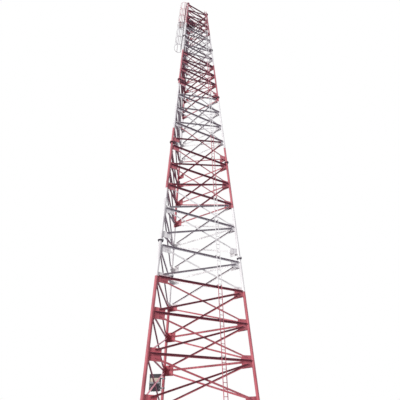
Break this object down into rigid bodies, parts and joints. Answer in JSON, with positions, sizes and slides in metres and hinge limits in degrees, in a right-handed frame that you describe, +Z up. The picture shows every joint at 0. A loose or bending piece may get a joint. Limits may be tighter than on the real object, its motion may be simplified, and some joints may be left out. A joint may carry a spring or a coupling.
{
  "type": "three-legged lattice radio mast",
  "caption": "Self-supporting tapered lattice radio mast with three tubular legs, crossed bracing, flanged sections, red and white bands, ladder and safety cage.",
  "frame": {"origin": "middle of the underside of foot A's base plate, the foot of the leg that has the cage", "axes": "+X along the front face from foot A to foot B, +Y in towards foot C, +Z up"},
  "size_m": [6.6342, 5.7458, 39.6172],
  "materials": {
    "red_paint": "weathered semi-gloss",
    "white_paint": "weathered semi-gloss",
    "galvanised_steel": "dull hot-dip galvanised",
    "dish_grey": "matt",
    "box_beige": "satin powder coat"
  },
  "bodies": {
    "root": {"foot_a": "red_paint", "foot_b": "red_paint", "foot_c": "red_paint", "leg_a_1": "red_paint", "leg_a_2": "white_paint", "leg_a_3": "white_paint", "leg_a_4": "white_paint", "leg_a_5": "red_paint", "leg_b_1": "red_paint", "leg_b_2": "white_paint", "leg_b_3": "white_paint", "leg_b_4": "white_paint", "leg_b_5": "red_paint", "leg_c_1": "red_paint", "leg_c_2": "white_paint", "leg_c_3": "white_paint", "leg_c_4": "white_paint", "leg_c_5": "red_paint", "bracing_ab_1": "red_paint", "bracing_ab_2": "white_paint", "bracing_ab_3": "white_paint", "bracing_ab_4": "white_paint", "bracing_ab_5": "red_paint", "bracing_bc_1": "red_paint", "bracing_bc_2": "white_paint", "bracing_bc_3": "white_paint", "bracing_bc_4": "white_paint", "bracing_bc_5": "red_paint", "bracing_ca_1": "red_paint", "bracing_ca_2": "white_paint", "bracing_ca_3": "white_paint", "bracing_ca_4": "white_paint", "bracing_ca_5": "red_paint", "ladder_1": "red_paint", "ladder_2": "white_paint", "ladder_3": "white_paint", "ladder_4": "white_paint", "ladder_5": "red_paint", "ladder_brackets": "galvanised_steel", "leg_ladder": "white_paint", "leg_ladder_brackets": "galvanised_steel", "safety_cage": "white_paint", "rest_platform": "red_paint", "drum_dish": "dish_grey", "dish_bracket": "galvanised_steel", "equipment_box": "box_beige", "box_bracket": "galvanised_steel"}
  },
  "joints": []
}
